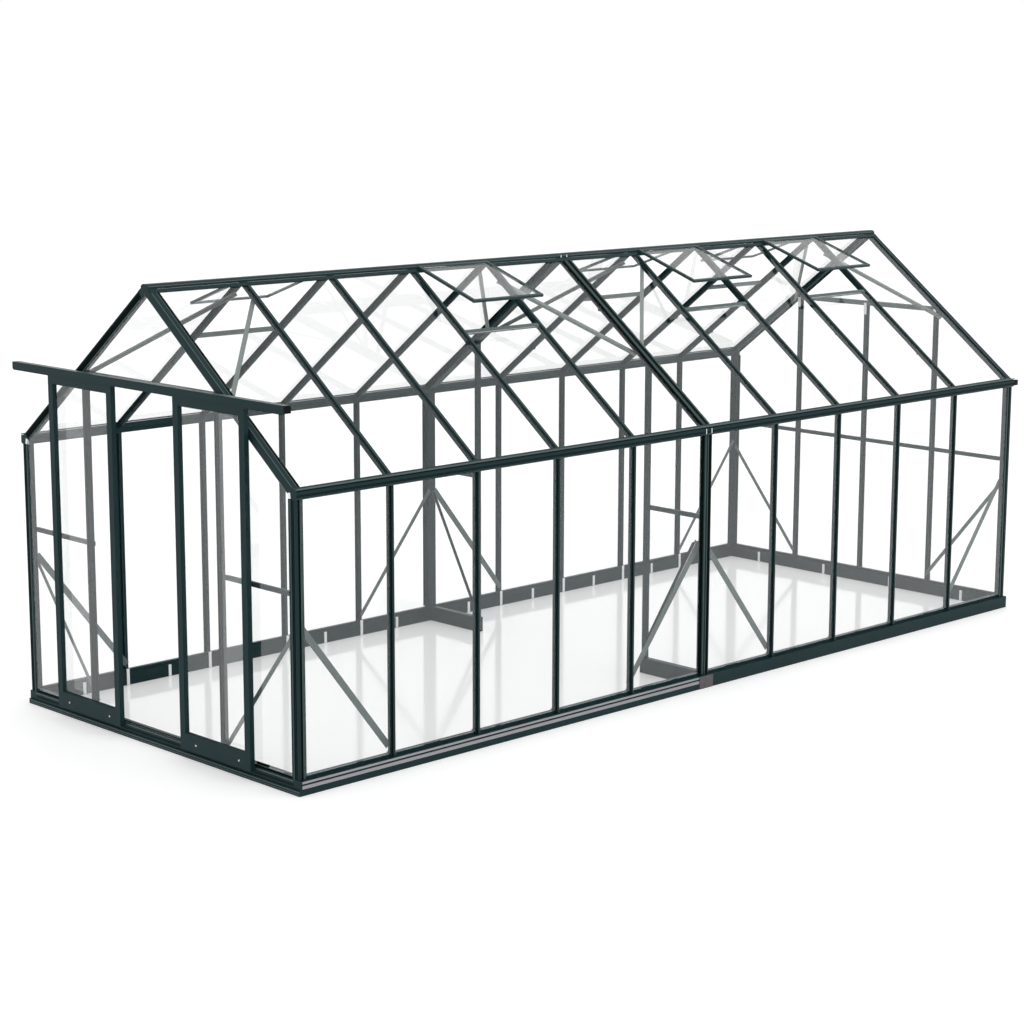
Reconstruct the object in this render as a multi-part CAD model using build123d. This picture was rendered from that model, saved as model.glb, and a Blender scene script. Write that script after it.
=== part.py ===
from build123d import *
import math
import os

# Glass greenhouse with a sliding double door. X runs across it, Y along it, Z up.
# The door gable faces -Y. Millimetres throughout.

# ---- Layout ----
bay_pitch = 620.0            # spacing of the glazing bars along the walls and the roof
bays_per_half = 5            # bays between a gable and the middle frame
mid_spread = 39.2            # spacing of the two half-frames' bar lines at the middle
gable_inset = 30.4           # gable face beyond the outermost bar line
half_width = 1247.0          # middle of the building to the face of a long wall
gable_post_x = 607.0         # middle of the building to the gable posts
roof_pitch = 37.7            # degrees
gap = 0.5                    # play between a pane and what holds it
cut = 1.0                    # how far a cutting block runs past what it cuts

# ---- Base and sill ----
base_height = 78.0
base_reach = 19.0            # base beyond the long wall's face
base_ledge = 5.0             # base beyond the inside of the bars
base_wall = 3.0
gable_base_reach = 10.0      # base beyond the gable's face
front_step_height = 30.0     # the door clears the base above this height
front_step_set_back = 10.0
front_corner_length = 20.0
rear_corner_length = 44.0
joint_plate_length = 120.0
joint_plate_thickness = 3.0
sill_height = 19.0
sill_set_back = 12.0
sill_width = 24.0
strip_thickness = 5.0
strip_bottoms = (36.0, 64.0)
strip_heights = (18.0, 12.0)
clip_width = 20.0
clip_thickness = 4.0
clip_height = 72.0
bar_clip_height = 100.0
clip_bottom = 2.0

# ---- Wall and roof members ----
bar_depth = 38.0             # face of a wall or roof to the inside of its bars
bar_cap = 30.0
bar_lip = 3.0
bar_web = 5.0
bar_seat = 22.0
bar_seat_thickness = 3.0
bar_nut_slot = 16.0
bar_nut_depth = 8.0
core_width = 50.0            # core of a corner post, on each wall, or of a gable rafter
flange = 10.0                # glazing flange beside the core
flange_thickness = 6.0
mid_core = 60.0
mid_flange = 12.0
mid_groove = 4.0
mid_groove_depth = 10.0
rafter_lip = 10.0            # gable rafter's lip beyond the bars, over the gable glass's edge
pane = 4.0
brace_width = 26.0
brace_thickness = 3.0
brace_top = 900.0
gable_brace_top = 860.0      # lower, to pass below the wall's brace at the corner
brace_foot = 135.0
brace_end_inset = 24.0       # braces' upper ends from the middle of the building
brace_corner_gap = 11.0      # corner post's inner face to the end of a brace
eave_bottom = 1552.5
eave_rise = 60.0             # eave beam's underside to the roof plane's lower edge
eave_set_back = 18.0         # roof plane's lower edge behind the wall's face
gutter_height = 44.0
gutter_chamfer = 8.0
gutter_end_length = 43.0
gutter_end_height = 36.0
ridge_half = 34.0
ridge_stand = 13.0           # ridge cap's side above the roof plane
ridge_cap_rise = 10.0
ridge_cap_half = 18.0

# ---- Gables, partition and door ----
rail_height = 27.0
rail_depth = 14.0
rail_level = 1036.0
rail_lap = 4.0               # front rails' inner ends over the gable posts
rear_head_height = 33.0
rear_head_bottom = 2020.0
partition_x = 758.0          # middle of the building to the partition posts
post_width = 30.0
stub_width = 40.0
stub_end = 733.0
partition_rail_width = 20.0
head_height = 42.0
track_bottom = 1994.0
track_height = 40.0
track_depth = 43.0
track_ends = (-1256.0, 1226.0)
track_wall = 3.0
track_slot = 12.0
track_cap = 6.0
door_width = 616.0
door_thickness = 30.0
door_set_back = 5.0          # door's face behind the track's face
door_bottom = 60.0
door_top_gap = 5.0
stile_width = 46.0
top_rail_height = 45.0
bottom_rail_height = 93.0
left_door_edge = 291.0       # inner edge of each door from the middle, as it stands
right_door_edge = 277.0
hanger_inset = 90.0
hanger_width = 34.0
hanger_thickness = 4.0
wheel_radius = 12.0
wheel_width = 8.0
running_gap = 0.3

# ---- Roof vents ----
vent_length = 515.0
vent_side_gap = 14.0
vent_bar = 19.0
vent_depth = 16.0
vent_opening = 18.5          # degrees above the roof's slope
vent_sill_slope = 550.0      # ridge to the vent's sill bar along the slope
vent_sill_width = 24.0
vent_sill_depth = 20.0
right_vents = (3, 6, 8)      # bays with a vent, counted from the door gable
left_vents = (1, 6, 8)
roof_brace_bottoms = (722.0, 668.0)   # eaves to a brace's lower end up the left and right slopes
roof_brace_rise = 728.0      # the same brace's lower to upper end along the slope

# ---- Worked out from these ----
pitch = math.radians(roof_pitch)
half_length = bays_per_half * bay_pitch + mid_spread / 2 + gable_inset
bay_count = 2 * bays_per_half
glass_face = bar_lip + gap
glass_back = glass_face + pane
seat_face = glass_back + gap
base_side = half_width + base_reach
base_width = base_reach + bar_depth + base_ledge
rafter_lip_depth = bar_depth + rafter_lip
brace_corner_inset = bar_depth + brace_corner_gap
base_inner = base_side - base_width
base_end = half_length + gable_base_reach
base_end_inner = base_end - base_width
sill_top = base_height + sill_height
roof_foot_x = half_width - eave_set_back
roof_foot_z = eave_bottom + eave_rise
slope_length = (roof_foot_x - ridge_half) / math.cos(pitch)
post_reach = core_width + flange
mid_half = mid_core / 2 + mid_flange
door_face = half_length + track_depth - door_set_back
door_back = door_face - door_thickness
track_top = track_bottom + track_height
head_top = roof_foot_z + (roof_foot_x - gable_post_x) * math.tan(pitch)
head_top -= rafter_lip_depth / math.cos(pitch)


def bar_y(line):
    """Y of a bar line; line 0 is the door gable, the middle line stands at 0."""
    step = line - bays_per_half
    spread = math.copysign(mid_spread / 2, step) if step else 0.0
    return step * bay_pitch + spread


def bay_edges(bay):
    """Y of the webs that hold bay's glass, from its front to its rear."""
    edges = []
    for line, side in ((bay, 1), (bay + 1, -1)):
        if line == 0:
            edges.append(-half_length + core_width)
        elif line == bay_count:
            edges.append(half_length - core_width)
        elif line == bays_per_half:
            edges.append(side * mid_core / 2)
        else:
            edges.append(bar_y(line) + side * bar_web / 2)
    return edges


def roof_z(x, depth=0.0):
    """Height of the roof plane at x, or of the plane that lies depth below it."""
    return roof_foot_z + (roof_foot_x - x) * math.tan(pitch) - depth / math.cos(pitch)


def slope_point(slope, y, depth=0.0):
    """Point on the right roof slope, measured up from its lower edge."""
    x = roof_foot_x - slope * math.cos(pitch) - depth * math.sin(pitch)
    z = roof_foot_z + slope * math.sin(pitch) - depth * math.cos(pitch)
    return (x, y, z)


def block(x0, x1, y0, y1, z0, z1):
    return Pos((x0 + x1) / 2, (y0 + y1) / 2, (z0 + z1) / 2) * Box(x1 - x0, y1 - y0, z1 - z0)


def outline(points, origin, x_dir, z_dir, amount):
    plane = Plane(origin=origin, x_dir=x_dir, z_dir=z_dir)
    return extrude(plane * Polygon(*points, align=None), amount=amount, dir=Vector(*z_dir))


def member(points, start, end, normal):
    """Section (across, depth) run from start to end, with depth inwards from normal."""
    along = Vector(*end) - Vector(*start)
    across = along.cross(Vector(*normal)).normalized()
    return outline(points, start, across, tuple(along.normalized()), along.length)


def along_y(points, y0, y1):
    """Section (x, z) run from y0 to y1."""
    return outline(points, (0, y1, 0), (1, 0, 0), (0, -1, 0), y1 - y0)


def mirror_x(shapes):
    return [mirror(shape, Plane.YZ) for shape in shapes]


def mirror_y(shapes):
    return [mirror(shape, Plane.XZ) for shape in shapes]


def both_sides(shapes):
    return shapes + mirror_x(shapes)


def both_ends(shapes):
    return shapes + mirror_y(shapes)


def rectangle(width, depth0, depth1):
    half = width / 2
    return [(-half, depth0), (half, depth0), (half, depth1), (-half, depth1)]


def bar_section():
    """Glazing bar: outer cap, glass seat and inner nut slot on one web."""
    cap = bar_cap / 2
    web = bar_web / 2
    seat = bar_seat / 2
    slot = bar_nut_slot / 2
    seat_back = seat_face + bar_seat_thickness
    slot_face = bar_depth - bar_nut_depth
    half = [
        (cap, 0), (cap, bar_lip), (web, bar_lip), (web, seat_face), (seat, seat_face),
        (seat, seat_back), (web, seat_back), (web, slot_face), (slot, slot_face), (slot, bar_depth),
    ]
    return half + [(-u, v) for u, v in reversed(half)]


def mid_section():
    """Middle post or rafter: two cores side by side with a glazing flange at each edge."""
    core = mid_core / 2
    groove = mid_groove / 2
    flange_back = seat_face + flange_thickness
    half = [
        (groove, mid_groove_depth), (groove, 0), (core, 0), (core, seat_face),
        (mid_half, seat_face), (mid_half, flange_back), (core, flange_back), (core, bar_depth),
    ]
    return half + [(-u, v) for u, v in reversed(half)]


def corner_section():
    """Corner post: angled core with a glazing flange for each of the two walls."""
    flange_back = seat_face + flange_thickness
    leg = [
        (core_width, 0), (core_width, seat_face), (post_reach, seat_face),
        (post_reach, flange_back), (core_width, flange_back), (core_width, bar_depth),
    ]
    return [(0, 0)] + leg + [(bar_depth, bar_depth)] + [(v, u) for u, v in reversed(leg)]


def rafter_section():
    """Gable rafter: core, roof flange, and a lip over the gable glass."""
    flange_back = seat_face + flange_thickness
    return [
        (0, 0), (core_width, 0), (core_width, seat_face), (post_reach, seat_face),
        (post_reach, flange_back), (core_width, flange_back), (core_width, bar_depth),
        (bar_lip, bar_depth), (bar_lip, rafter_lip_depth), (0, rafter_lip_depth),
    ]


def save(name, shapes):
    export_step(Compound(children=[shape.solid() for shape in shapes]), f"parts/{name}.step")


# ---- Base ----
def base_section(outer, inner):
    """Closed hollow section (x, z) with the outer outline less the inner one."""
    return Polygon(*outer, align=None) - Polygon(*inner, align=None)


def hollow_run(outer, inner, y0, y1):
    plane = Plane(origin=(0, y1, 0), x_dir=(1, 0, 0), z_dir=(0, -1, 0))
    return extrude(plane * base_section(outer, inner), amount=y1 - y0)


def box_outline(x0, x1, z0, z1):
    return [(x0, z0), (x1, z0), (x1, z1), (x0, z1)]


def side_base_rails():
    """Front and rear halves of the right base; they meet under the middle post."""
    outer = box_outline(base_inner, base_side, 0, base_height)
    inner = box_outline(base_inner + base_wall, base_side - strip_thickness - base_wall,
                        base_wall, base_height - base_wall)
    front = hollow_run(outer, inner, -base_end + front_corner_length, 0)
    rear = hollow_run(outer, inner, 0, base_end - rear_corner_length)
    return front, rear


def strip_recess():
    top = strip_bottoms[-1] + strip_heights[-1]
    return block(base_side - strip_thickness, base_side + cut, -base_end + front_corner_length, 0,
                 strip_bottoms[0], top)


def make_base():
    front, rear = side_base_rails()
    save("right_base_rails", [front - strip_recess(), rear])
    save("left_base_rails", mirror_x([front, rear]))
    strips = []
    for bottom, height in zip(strip_bottoms, strip_heights):
        strips.append(block(base_side - strip_thickness, base_side,
                            -base_end + front_corner_length, 0, bottom, bottom + height))
    save("right_base_strips", strips)

    ledge = base_end - front_step_set_back
    front_outer = [(base_end_inner, 0), (base_end, 0), (base_end, front_step_height),
                   (ledge, front_step_height), (ledge, base_height), (base_end_inner, base_height)]
    front_inner = box_outline(base_end_inner + base_wall, ledge - base_wall, base_wall,
                              base_height - base_wall)
    rear_outer = box_outline(base_end_inner, base_end, 0, base_height)
    turn = Rot(0, 0, 90)
    stepped = turn * hollow_run(front_outer, front_inner, -base_inner, base_inner)
    save("front_base_rail", mirror_y([stepped]))
    save("rear_base_rail", [turn * hollow_run(rear_outer, front_inner, -base_inner, base_inner)])

    front_corner = block(base_inner, base_side, -base_end, -base_end + front_corner_length,
                         0, base_height)
    front_corner -= block(base_inner - cut, base_side + cut, -base_end - cut, -ledge,
                          front_step_height, base_height + cut)
    rear_corner = block(base_inner, base_side, base_end - rear_corner_length, base_end,
                        0, base_height)
    save("base_corner_blocks", both_sides([front_corner, rear_corner]))
    plate = block(base_side, base_side + joint_plate_thickness, -joint_plate_length / 2,
                  joint_plate_length / 2, 0, base_height)
    save("base_joint_plates", both_sides([plate]))


def make_sills():
    side_end = half_length - post_reach - gap
    side_face = half_width - sill_set_back
    side = block(side_face - sill_width, side_face, mid_half + gap, side_end, base_height, sill_top)
    gable_end = half_width - post_reach - gap
    gable_face = half_length - sill_set_back
    gable = (gable_face - sill_width, gable_face, base_height, sill_top)
    rear = block(-gable_end, gable_end, *gable)
    front = mirror_y(both_sides([block(gable_post_x - bar_cap / 2, gable_end, *gable)]))
    save("sills", both_sides(both_ends([side])) + front + [rear])


def make_clips():
    """Clips inside the base, at each bar and half way along each bay."""
    inner = base_inner - clip_thickness
    clips = []
    for half_step in range(1, 2 * bay_count):
        line = half_step / 2
        if line == bays_per_half:
            continue
        y = bar_y(line)
        height = clip_height if half_step % 2 else bar_clip_height
        clips.append(block(inner, base_inner, y - clip_width / 2, y + clip_width / 2,
                           clip_bottom, clip_bottom + height))
    for x in (gable_post_x / 2, (gable_post_x + half_width) / 2):
        clips.append(block(x - clip_width / 2, x + clip_width / 2, base_end_inner - clip_thickness,
                           base_end_inner, clip_bottom, clip_bottom + clip_height))
    save("base_clips", both_sides(clips))


# ---- Walls ----
def standing_bar(x, y, normal, top):
    """Bar on the base, notched over the sill so that its cap runs down in front of it."""
    bar = member(bar_section(), (x, y, base_height), (x, y, top), normal)
    reach = bar_depth + bar_cap
    notch = Pos(x, y, (base_height + sill_top) / 2) * Box(reach, reach, sill_height)
    face = Vector(x, y, 0) - Vector(*normal) * (sill_set_back + reach / 2)
    return bar - Pos(face.X - x, face.Y - y, 0) * notch


def make_wall_frame():
    corner = []
    for point in corner_section():
        corner.append((half_width - point[1], half_length - point[0]))
    post = outline(corner, (0, 0, base_height), (1, 0, 0), (0, 0, 1), eave_bottom - base_height)
    save("corner_posts", both_sides(both_ends([post])))
    mid = member(mid_section(), (half_width, 0, base_height), (half_width, 0, eave_bottom), (1, 0, 0))
    save("middle_posts", both_sides([mid]))
    bars = []
    for line in range(1, bay_count):
        if line != bays_per_half:
            bars.append(standing_bar(half_width, bar_y(line), (1, 0, 0), eave_bottom))
    save("right_wall_bars", bars)
    save("left_wall_bars", mirror_x(bars))


def make_eaves():
    web_x = roof_foot_x - bar_depth * math.sin(pitch)
    web_z = roof_foot_z - bar_depth * math.cos(pitch)
    section = [
        (web_x, eave_bottom), (base_side - gutter_chamfer, eave_bottom),
        (base_side, eave_bottom + gutter_chamfer), (base_side, eave_bottom + gutter_height),
        (roof_foot_x, roof_foot_z), (web_x, web_z),
    ]
    beam = along_y(section, -half_length, half_length)
    save("eave_beams", both_sides([beam]))
    end = block(half_width, base_side, half_length, half_length + gutter_end_length,
                eave_bottom + gutter_chamfer, eave_bottom + gutter_chamfer + gutter_end_height)
    save("gutter_ends", both_sides([end]))


# ---- Roof ----
def sloped(points, y, slope0, slope1):
    normal = (math.sin(pitch), 0, math.cos(pitch))
    return member(points, slope_point(slope0, y), slope_point(slope1, y), normal)


def make_ridge():
    side_z = roof_z(ridge_half)
    web_x = ridge_half - bar_depth * math.sin(pitch)
    web_z = side_z - bar_depth * math.cos(pitch)
    cap_z = side_z + ridge_stand + ridge_cap_rise
    half = [
        (ridge_cap_half, cap_z), (ridge_half, side_z + ridge_stand), (ridge_half, side_z),
        (web_x, web_z),
    ]
    save("ridge_beam", [along_y(half + [(-x, z) for x, z in reversed(half)],
                                -half_length, half_length)])


def make_rafters():
    rafter = sloped(rafter_section(), -half_length, 0, slope_length)
    save("gable_rafters", both_sides(both_ends([rafter])))
    save("middle_rafters", both_sides([sloped(mid_section(), 0, 0, slope_length)]))
    bars = []
    for line in range(1, bay_count):
        if line != bays_per_half:
            bars.append(sloped(bar_section(), bar_y(line), 0, slope_length))
    save("right_roof_bars", bars)
    save("left_roof_bars", mirror_x(bars))


def vent_plane_point(reach, depth):
    """Point (x, z) on the open vent, out from its hinge and down from its outer face."""
    fall = pitch - math.radians(vent_opening)
    hinge_x = ridge_half + running_gap
    hinge_z = roof_z(hinge_x) + gap + vent_depth * math.cos(fall)
    x = hinge_x + vent_depth * math.sin(fall) + reach * math.cos(fall) - depth * math.sin(fall)
    z = hinge_z - reach * math.sin(fall) - depth * math.cos(fall)
    return (x, z)


def vent_slab(reach0, reach1, depth0, depth1, y0, y1):
    corners = [(reach0, depth0), (reach1, depth0), (reach1, depth1), (reach0, depth1)]
    return along_y([vent_plane_point(*corner) for corner in corners], y0, y1)


def vent_sash(bay):
    """Frame and pane of the open vent over one bay of the right slope."""
    y0 = bar_y(bay) + bar_cap / 2 + vent_side_gap
    y1 = bar_y(bay + 1) - bar_cap / 2 - vent_side_gap
    frame = vent_slab(0, vent_length, 0, vent_depth, y0, y1)
    frame -= vent_slab(vent_bar, vent_length - vent_bar, -cut, vent_depth + cut,
                       y0 + vent_bar, y1 - vent_bar)
    face = (vent_depth - pane) / 2
    glass = vent_slab(vent_bar + gap, vent_length - vent_bar - gap, face, face + pane,
                      y0 + vent_bar + gap, y1 - vent_bar - gap)
    return frame, glass


def vent_sill(bay):
    y0, y1 = bay_edges(bay)
    middle = slope_length - vent_sill_slope
    width = y1 - y0 - bar_cap + bar_web - 2 * running_gap
    across = rectangle(width, 0, vent_sill_depth)
    return sloped(across, (y0 + y1) / 2, middle - vent_sill_width / 2, middle + vent_sill_width / 2)


def roof_pane(bay, has_vent):
    y0, y1 = bay_edges(bay)
    top = slope_length - gap
    if has_vent:
        top = slope_length - vent_sill_slope - vent_sill_width / 2 - gap
    return sloped(rectangle(y1 - y0 - 2 * gap, glass_face, glass_back), (y0 + y1) / 2, gap, top)


def make_roof_glass():
    save("right_roof_glass", [roof_pane(bay, bay in right_vents) for bay in range(bay_count)])
    left = [roof_pane(bay, bay in left_vents) for bay in range(bay_count)]
    save("left_roof_glass", mirror_x(left))
    right_sashes = [vent_sash(bay) for bay in right_vents]
    left_sashes = [vent_sash(bay) for bay in left_vents]
    frames = [frame for frame, sheet in right_sashes]
    sheets = [sheet for frame, sheet in right_sashes]
    save("vent_frames", frames + mirror_x([frame for frame, sheet in left_sashes]))
    save("vent_glass", sheets + mirror_x([sheet for frame, sheet in left_sashes]))
    sills = [vent_sill(bay) for bay in right_vents]
    save("vent_sills", sills + mirror_x([vent_sill(bay) for bay in left_vents]))


# ---- Gables and partition ----
def under_roof(depth):
    """Space under the roof at this depth, to trim what stands up to it."""
    points = [(-half_width, 0), (half_width, 0), (half_width, roof_z(half_width, depth)),
              (0, roof_z(0, depth)), (-half_width, roof_z(half_width, depth))]
    return along_y(points, -2 * half_length, 2 * half_length)


def gable_post(x, top):
    """Post of the door gable, up to top or to the rafter's lip, whichever is lower."""
    return standing_bar(x, -half_length, (0, -1, 0), top) & under_roof(rafter_lip_depth)


def make_gable_frames():
    front = gable_post(gable_post_x, roof_z(gable_post_x - bar_cap))
    save("front_gable_posts", both_sides([front]))
    outer = gable_post(gable_post_x, rear_head_bottom)
    save("rear_gable_posts", mirror_y(both_sides([outer]) + [gable_post(0, rear_head_bottom)]))

    head_half = gable_post_x - bar_cap / 2 - running_gap
    head = block(-head_half, head_half, -half_length, -half_length + bar_depth,
                 head_top - head_height, head_top)
    save("door_head", [head])
    rear_head = block(-half_width, half_width, half_length - bar_depth, half_length - seat_face,
                      rear_head_bottom, rear_head_bottom + rear_head_height)
    save("rear_gable_head", [rear_head & under_roof(rafter_lip_depth)])

    rail_y = half_length - bar_depth
    inner_post = gable_post_x + bar_nut_slot / 2 - rail_lap
    outer_end = half_width - core_width
    front_rail = block(inner_post, outer_end, -rail_y, -rail_y + rail_depth, rail_level,
                       rail_level + rail_height)
    rear_rail = block(-outer_end, outer_end, rail_y - rail_depth, rail_y, rail_level,
                      rail_level + rail_height)
    save("gable_rails", both_sides([front_rail]) + [rear_rail])


def make_partition():
    """Stub frames that reach in from the middle posts, with a clear way between them."""
    half = post_width / 2
    half_stub = stub_width / 2
    stub = block(stub_end, base_inner, -half_stub, half_stub, 0, sill_top)
    save("partition_base_stubs", both_sides([stub]))
    inner = partition_x - half
    post = block(inner, partition_x + half, -half, half, sill_top, roof_z(inner))
    save("partition_posts", both_sides([post & under_roof(bar_depth + brace_thickness)]))
    half_rail = partition_rail_width / 2
    rail = block(partition_x + half, half_width - bar_depth, -half_rail, half_rail, rail_level,
                 rail_level + rail_height)
    save("partition_rails", both_sides([rail]))


def gable_sheet(x0, x1, bottom, top):
    """Sheet of the rear gable, cut to the slope of the roof and clear of the eave beams."""
    sheet = block(x0, x1, half_length - glass_back, half_length - glass_face, bottom, top)
    web_x = roof_foot_x - bar_depth * math.sin(pitch) - gap
    beam = block(web_x, half_width, 0, 2 * half_length, eave_bottom - gap, track_top)
    return (sheet & under_roof(bar_depth + 2 * gap)) - beam


def make_gable_glass():
    """One sheet a bay, and one over the door or the head rail."""
    low = sill_top + gap
    ridge_bottom = roof_z(ridge_half) - bar_depth * math.cos(pitch) - gap
    post_side = gable_post_x + bar_web / 2 + gap
    inner_side = gable_post_x - bar_web / 2 - gap
    outer = both_sides([gable_sheet(post_side, half_width - core_width - gap, low, ridge_bottom)])
    middle = gable_sheet(bar_web / 2 + gap, inner_side, low, rear_head_bottom - gap)
    over_door = gable_sheet(-inner_side, inner_side, head_top + gap, ridge_bottom)
    over_head = gable_sheet(-inner_side, inner_side, rear_head_bottom + gap, ridge_bottom)
    save("front_gable_glass", mirror_y(outer + [over_door]))
    save("rear_gable_glass", outer + both_sides([middle]) + [over_head])


def make_wall_glass():
    panes = []
    for bay in range(bay_count):
        y0, y1 = bay_edges(bay)
        panes.append(block(half_width - glass_back, half_width - glass_face, y0 + gap, y1 - gap,
                           sill_top + gap, eave_bottom - gap))
    save("right_wall_glass", panes)
    save("left_wall_glass", mirror_x(panes))


# ---- Braces ----
def brace(start, end, normal):
    return member(rectangle(brace_width, bar_depth, bar_depth + brace_thickness),
                  start, end, normal)


def make_braces():
    """Flat braces on the inside of the bars, from each post down to the next bar's foot."""
    corner_y = half_length - brace_corner_inset
    walls = []
    for y_post, line in ((corner_y, bay_count - 1), (brace_end_inset, bays_per_half + 1)):
        walls.append(brace((half_width, y_post, brace_top), (half_width, bar_y(line), brace_foot),
                           (1, 0, 0)))
    walls.append(brace((half_width - brace_corner_inset, half_length, gable_brace_top),
                       (gable_post_x, half_length, brace_foot), (0, 1, 0)))
    face = bar_depth - post_width / 2
    top = (half_width - bar_depth - brace_width, face, brace_top)
    foot = (partition_x, face, brace_foot)
    partition = both_sides([brace(top, foot, (0, 1, 0))])
    save("wall_braces", both_sides(both_ends(walls)) + partition)

    normal = (math.sin(pitch), 0, math.cos(pitch))
    slopes = []
    for bottom in roof_brace_bottoms:
        roof = []
        for y_rafter, line in ((corner_y, bay_count - 1), (brace_end_inset, bays_per_half + 1)):
            roof.append(brace(slope_point(bottom, y_rafter),
                              slope_point(bottom + roof_brace_rise, bar_y(line)), normal))
        slopes.append(both_ends(roof))
    left, right = slopes
    save("roof_braces", mirror_x(left) + right)


# ---- Sliding doors ----
def make_track():
    """Channel over the doors, open below along a slot, with a cap in each end."""
    back = -half_length
    front = back - track_depth
    centre = (front + back) / 2
    left, right = track_ends
    channel = block(left, right, front, back, track_bottom, track_top)
    channel -= block(left, right, front + track_wall, back - track_wall,
                     track_bottom + track_wall, track_top - track_wall)
    channel -= block(left, right, centre - track_slot / 2, centre + track_slot / 2,
                     track_bottom, track_bottom + track_wall)
    save("door_track", [channel])
    caps = []
    for start in (left - track_cap, right):
        caps.append(block(start, start + track_cap, front, back, track_bottom, track_top))
    save("door_track_caps", caps)


def make_door(side, x0):
    """Door leaf from x0 to x0 plus its width, hung from two roller carriers."""
    x1 = x0 + door_width
    top = track_bottom - door_top_gap
    leaf = (-door_face, -door_back)
    stiles = [block(x0, x0 + stile_width, *leaf, door_bottom, top),
              block(x1 - stile_width, x1, *leaf, door_bottom, top)]
    save(f"{side}_door_stiles", stiles)
    inner0 = x0 + stile_width
    inner1 = x1 - stile_width
    glass_low = door_bottom + bottom_rail_height
    glass_high = top - top_rail_height
    rails = [block(inner0, inner1, *leaf, door_bottom, glass_low),
             block(inner0, inner1, *leaf, glass_high, top)]
    save(f"{side}_door_rails", rails)
    middle = -(door_face + door_back) / 2
    glass = block(inner0 + gap, inner1 - gap, middle - pane / 2, middle + pane / 2,
                  glass_low + gap, glass_high - gap)
    save(f"{side}_door_glass", [glass])

    track_middle = -half_length - track_depth / 2
    axle = track_bottom + track_wall + running_gap + wheel_radius
    carriers = []
    for x in (x0 + hanger_inset, x1 - hanger_inset):
        plate = block(x - hanger_width / 2, x + hanger_width / 2,
                      track_middle - hanger_thickness / 2, track_middle + hanger_thickness / 2,
                      top, axle + wheel_radius / 2)
        wheels = Pos(x, track_middle, axle) * Rot(90, 0, 0) * Cylinder(
            wheel_radius, hanger_thickness + 2 * wheel_width)
        carriers.append(plate + wheels)
    save(f"{side}_door_rollers", carriers)


def main():
    os.makedirs("parts", exist_ok=True)
    make_base()
    make_sills()
    make_clips()
    make_wall_frame()
    make_eaves()
    make_ridge()
    make_rafters()
    make_roof_glass()
    make_gable_frames()
    make_partition()
    make_gable_glass()
    make_wall_glass()
    make_braces()
    make_track()
    make_door("left", -left_door_edge - door_width)
    make_door("right", right_door_edge)


if __name__ == "__main__":
    main()
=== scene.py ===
"""Glass greenhouse: finishes, trim and small fittings, and a plain studio around the frame."""
import math

import bpy
import numpy as np
from bpy.props import FloatProperty, FloatVectorProperty, PointerProperty
from mathutils import Matrix, Vector


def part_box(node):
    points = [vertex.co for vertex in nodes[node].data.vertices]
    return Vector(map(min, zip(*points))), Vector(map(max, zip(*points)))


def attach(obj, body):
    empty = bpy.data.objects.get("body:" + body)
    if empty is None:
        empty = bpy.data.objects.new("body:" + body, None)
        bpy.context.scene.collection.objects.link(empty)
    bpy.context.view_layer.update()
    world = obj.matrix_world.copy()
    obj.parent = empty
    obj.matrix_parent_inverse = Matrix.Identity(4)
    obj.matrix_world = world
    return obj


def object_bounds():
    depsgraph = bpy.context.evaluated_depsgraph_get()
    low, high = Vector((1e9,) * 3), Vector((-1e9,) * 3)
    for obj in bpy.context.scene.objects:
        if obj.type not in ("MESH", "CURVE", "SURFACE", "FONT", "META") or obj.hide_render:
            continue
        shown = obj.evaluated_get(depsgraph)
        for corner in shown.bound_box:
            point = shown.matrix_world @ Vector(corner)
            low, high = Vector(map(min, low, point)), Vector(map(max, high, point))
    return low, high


bl_info = {
    "name": "Glass greenhouse",
    "version": (1, 0, 0),
    "blender": (4, 5, 0),
    "location": "View3D > Sidebar > Greenhouse",
    "description": "Finishes, trim, fittings and studio for a glass greenhouse with sliding doors",
    "category": "Object",
}

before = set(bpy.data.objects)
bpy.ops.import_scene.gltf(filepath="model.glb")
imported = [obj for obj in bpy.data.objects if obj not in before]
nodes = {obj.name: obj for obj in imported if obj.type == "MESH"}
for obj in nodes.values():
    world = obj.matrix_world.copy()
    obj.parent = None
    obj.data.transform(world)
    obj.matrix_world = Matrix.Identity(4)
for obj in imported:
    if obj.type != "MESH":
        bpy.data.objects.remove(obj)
cad_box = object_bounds()

BODY = "frame"
X = np.array([1.0, 0.0, 0.0])
Y = np.array([0.0, 1.0, 0.0])
Z = np.array([0.0, 0.0, 1.0])
MIRROR_X = np.array([-1.0, 1.0, 1.0])
BAR_LINES = [1, 2, 3, 4, 6, 7, 8, 9]

# ---- Where trim lies across a member ----
# Two edges of a strip, or the middle of a bead, across from the member's own line. A row that
# starts with a whole number says which frame: -1 the door gable, 0 the middle, 1 the rear gable.
BAR_STRIP = (-0.013, -0.002)
ROOF_BAR_STRIP = (-0.0115, -0.0065)
WALL_STRIPS = ((0, 0.009, 0.031), (0, -0.038, -0.030), (-1, 0.0215, 0.0330),
               (1, -0.0330, -0.0215))
ROOF_STRIPS = ((0, 0.0055, 0.0215), (0, -0.040, -0.029), (-1, 0.038, 0.0485),
               (1, -0.0485, -0.038))
CORNER_STRIPS = ((-0.0245, -0.019), (-0.013, -0.008))
RAFTER_SEAL = (-0.017, 0.015)
# The beads here and below are drawn in a pale coat that paints highlights along edges
WALL_BEADS = ((-1, 0.0365), (-1, 0.0440), (1, -0.0365), (1, -0.0440), (0, 0.0055), (0, 0.0345),
              (0, -0.0165))
ROOF_BEADS = ((-1, 0.0025), (-1, 0.0345), (1, -0.0025), (1, -0.0345), (0, 0.0255), (0, 0.0355),
              (0, -0.0205), (0, -0.0085))
WALL_BAR_BEAD = 0.013
ROOF_BAR_BEADS = (0.003, 0.013)
CORNER_BEAD = -0.0358
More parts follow.
